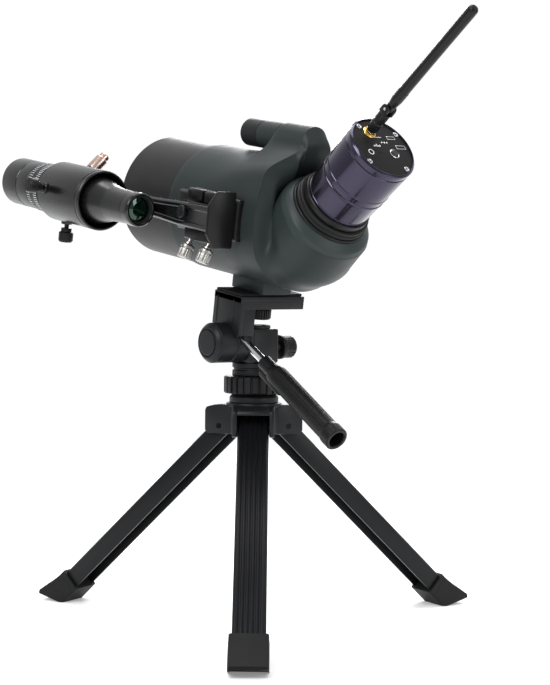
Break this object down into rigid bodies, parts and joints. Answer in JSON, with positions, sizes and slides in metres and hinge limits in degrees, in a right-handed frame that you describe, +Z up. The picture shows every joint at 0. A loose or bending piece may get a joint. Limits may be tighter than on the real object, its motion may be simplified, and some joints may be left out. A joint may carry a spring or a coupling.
{
  "type": "spotting scope",
  "caption": "Angled mirror-lens spotting scope with an eyepiece camera and aerial, an offset finder, and a small folding table tripod with pan and tilt.",
  "frame": {"origin": "middle of the bounding box, on the ground under the feet", "axes": "+Y where the scope points, horizontally; +X to the scope's right; +Z up"},
  "size_m": [0.365, 0.4865, 0.4937],
  "materials": {
    "moulded_black": "satin moulded plastic",
    "steel": "bright machined steel",
    "leg_alloy": "satin black paint on aluminium channel",
    "foot_rubber": "matte black rubber",
    "knob_black": "satin moulded plastic",
    "chrome_rod": "polished chrome",
    "grip_rubber": "ribbed soft rubber",
    "pad_rubber": "matte pad",
    "tube_black": "flat black anodised",
    "armour_green": "matte armour rubber, green grey",
    "housing_green": "satin paint, green grey",
    "hood_black": "fine matte paint",
    "coated_glass": "anti-reflection coated",
    "mirror_coat": "aluminised glass",
    "clear_glass": "polished glass",
    "focus_rubber": "ribbed rubber",
    "collar_black": "satin black",
    "collar_rubber": "soft satin rubber",
    "shoe_black": "satin black anodised",
    "thumb_silver": "knurled bright aluminium",
    "gloss_black": "gloss black",
    "plunger_copper": "knurled, copper tinted",
    "finder_black": "satin black",
    "scale_black": "satin black with light ticks",
    "green_glass": "green coating",
    "shell_violet": "anodised violet grey",
    "end_black": "flat black",
    "board_green": "circuit board",
    "button_black": "satin plastic",
    "brass": "gold plated brass",
    "aerial_black": "satin plastic"
  },
  "bodies": {
    "stand": {"tripod_crown": "moulded_black", "column_disc": "moulded_black", "leg_pivot_pins": "steel"},
    "leg_front": {"leg_front": "leg_alloy", "foot_front": "foot_rubber"},
    "leg_right": {"leg_right": "leg_alloy", "foot_right": "foot_rubber"},
    "leg_left": {"leg_left": "leg_alloy", "foot_left": "foot_rubber"},
    "lock_ring": {"pan_lock_ring": "knob_black"},
    "pan_head": {"pan_neck": "moulded_black", "head_block": "moulded_black", "head_cap": "knob_black", "tilt_axle": "steel"},
    "lock_knob": {"side_lock_knob": "knob_black"},
    "scope": {"tilt_bracket": "moulded_black", "tilt_cap": "moulded_black", "plate_pads": "pad_rubber", "main_tube": "tube_black", "body_armour": "armour_green", "corrector_cell": "tube_black", "corrector_lens": "coated_glass", "secondary_baffle": "tube_black", "rear_casting": "tube_black", "prism_housing": "housing_green", "erecting_prism": "clear_glass", "mounting_foot": "housing_green", "port_ring": "collar_black", "finder_shoe": "shoe_black"},
    "handle": {"handle_rod": "chrome_rod", "handle_grip": "grip_rubber"},
    "plate_screw": {"camera_screw": "knob_black"},
    "carriage": {"primary_mirror": "mirror_coat", "mirror_cell": "tube_black"},
    "focuser": {"focus_knob": "focus_rubber", "focus_screw": "steel"},
    "sunshade": {"hood": "hood_black"},
    "port_clamp": {"clamp_ring": "collar_rubber"},
    "finder": {"finder_bracket": "gloss_black", "bracket_screw": "steel", "finder_tube": "finder_black", "finder_eyepiece": "finder_black", "finder_eye_lens": "green_glass"},
    "shoe_screw_front": {"shoe_thumbscrew_front": "thumb_silver"},
    "shoe_screw_rear": {"shoe_thumbscrew_rear": "thumb_silver"},
    "side_adjuster": {"adjuster_screw_side": "knob_black"},
    "lower_adjuster": {"adjuster_screw_lower": "knob_black"},
    "plunger": {"spring_plunger": "plunger_copper"},
    "finder_front": {"finder_objective_cell": "finder_black", "finder_objective_lens": "coated_glass"},
    "finder_lock": {"finder_lock_ring": "scale_black"},
    "camera": {"camera_base": "collar_black", "camera_shell": "shell_violet", "camera_end_plate": "end_black", "end_screws": "steel", "circuit_board": "board_green", "sma_connector": "brass"},
    "button": {"power_button": "button_black"},
    "aerial_base": {"antenna_base": "aerial_black"},
    "aerial": {"antenna_whip": "aerial_black"}
  },
  "joints": [
    {"name": "leg_front_fold", "type": "hinge", "parent": "stand", "child": "leg_front", "pos_m": [-0.05058, 0.00573, 0.16777], "axis": [0.7869, -0.617, 0], "range_deg": [0, 44]},
    {"name": "leg_right_fold", "type": "hinge", "parent": "stand", "child": "leg_right", "pos_m": [-0.01201, 0.02123, 0.16777], "axis": [0.1409, 0.99, 0], "range_deg": [0, 44]},
    {"name": "leg_left_fold", "type": "hinge", "parent": "stand", "child": "leg_left", "pos_m": [-0.04472, 0.04688, 0.16777], "axis": [-0.9278, -0.373, 0], "range_deg": [0, 44]},
    {"name": "pan_lock", "type": "hinge", "parent": "stand", "child": "lock_ring", "pos_m": [-0.03577, 0.02462, 0.20327], "axis": [0, 0, 1], "range_deg": [-60, 60]},
    {"name": "pan", "type": "hinge", "parent": "stand", "child": "pan_head", "pos_m": [-0.03577, 0.02462, 0.21067], "axis": [0, 0, 1], "continuous": true},
    {"name": "head_lock", "type": "hinge", "parent": "pan_head", "child": "lock_knob", "pos_m": [-0.02027, 0.02462, 0.23377], "axis": [1, 0, 0], "range_deg": [-180, 180]},
    {"name": "tilt", "type": "hinge", "parent": "pan_head", "child": "scope", "pos_m": [-0.03577, 0.02462, 0.23877], "axis": [1, 0, 0], "range_deg": [-40, 20]},
    {"name": "handle_twist", "type": "hinge", "parent": "scope", "child": "handle", "pos_m": [-0.06107, 0.01157, 0.24479], "axis": [0, -0.8572, -0.515], "range_deg": [-360, 360]},
    {"name": "plate_screw_turn", "type": "hinge", "parent": "scope", "child": "plate_screw", "pos_m": [-0.03577, 0.01834, 0.2803], "axis": [0, -0.1495, 0.9888], "continuous": true},
    {"name": "focus", "type": "hinge", "parent": "scope", "child": "focuser", "pos_m": [-0.03577, 0.01138, 0.41255], "axis": [0, 0.9888, 0.1495], "range_deg": [-450, 450]},
    {"name": "mirror_travel", "type": "slide", "parent": "scope", "child": "carriage", "axis": [0, 0.9888, 0.1495], "range_m": [-0.0039, 0.0039]},
    {"name": "hood_travel", "type": "slide", "parent": "scope", "child": "sunshade", "axis": [0, 0.9888, 0.1495], "range_m": [0, 0.03]},
    {"name": "port_clamp_turn", "type": "hinge", "parent": "scope", "child": "port_clamp", "pos_m": [-0.03577, -0.07416, 0.34963], "axis": [0, -0.8049, 0.5934], "range_deg": [-90, 90]},
    {"name": "finder_travel", "type": "slide", "parent": "scope", "child": "finder", "axis": [0, 0.9888, 0.1495], "range_m": [0, 0.044]},
    {"name": "shoe_screw_front_turn", "type": "hinge", "parent": "scope", "child": "shoe_screw_front", "pos_m": [-0.10277, 0.01964, 0.33182], "axis": [-0.342, 0.1405, -0.9291], "range_deg": [-180, 180]},
    {"name": "shoe_screw_rear_turn", "type": "hinge", "parent": "scope", "child": "shoe_screw_rear", "pos_m": [-0.10277, -0.00606, 0.32794], "axis": [-0.342, 0.1405, -0.9291], "range_deg": [-180, 180]},
    {"name": "side_adjuster_turn", "type": "hinge", "parent": "finder", "child": "side_adjuster", "pos_m": [-0.16102, 0.15863, 0.36781], "axis": [-0.9903, -0.0208, 0.1376], "range_deg": [-180, 180]},
    {"name": "lower_adjuster_turn", "type": "hinge", "parent": "finder", "child": "lower_adjuster", "pos_m": [-0.13577, 0.16297, 0.33909], "axis": [0, 0.1495, -0.9888], "range_deg": [-180, 180]},
    {"name": "plunger_push", "type": "slide", "parent": "finder", "child": "plunger", "axis": [0.7071, -0.1057, 0.6992], "range_m": [0, 0.003], "stiffness_N_per_m": 600, "springref_m": -0.002},
    {"name": "finder_focus", "type": "hinge", "parent": "finder", "child": "finder_front", "pos_m": [-0.13577, 0.19871, 0.37028], "axis": [0, 0.9888, 0.1495], "range_deg": [-180, 180]},
    {"name": "finder_lock_turn", "type": "hinge", "parent": "finder", "child": "finder_lock", "pos_m": [-0.13577, 0.18882, 0.36879], "axis": [0, 0.9888, 0.1495], "range_deg": [-180, 180]},
    {"name": "camera_turn", "type": "hinge", "parent": "scope", "child": "camera", "pos_m": [-0.03577, -0.08003, 0.35396], "axis": [0, -0.8049, 0.5934], "continuous": true},
    {"name": "power_push", "type": "slide", "parent": "camera", "child": "button", "axis": [0, 0.8049, -0.5934], "range_m": [0, 0.0008], "stiffness_N_per_m": 800, "springref_m": -0.0003},
    {"name": "aerial_swivel", "type": "hinge", "parent": "camera", "child": "aerial_base", "pos_m": [-0.04237, -0.13304, 0.41131], "axis": [0, -0.8049, 0.5934], "range_deg": [-170, 170]},
    {"name": "aerial_fold", "type": "hinge", "parent": "aerial_base", "child": "aerial", "pos_m": [-0.04237, -0.14995, 0.42377], "axis": [-1, 0, 0], "range_deg": [0, 90]}
  ],
  "couplings": [
    {"joint": "focus", "follows": "mirror_travel", "rad_per_m": 2000}
  ]
}
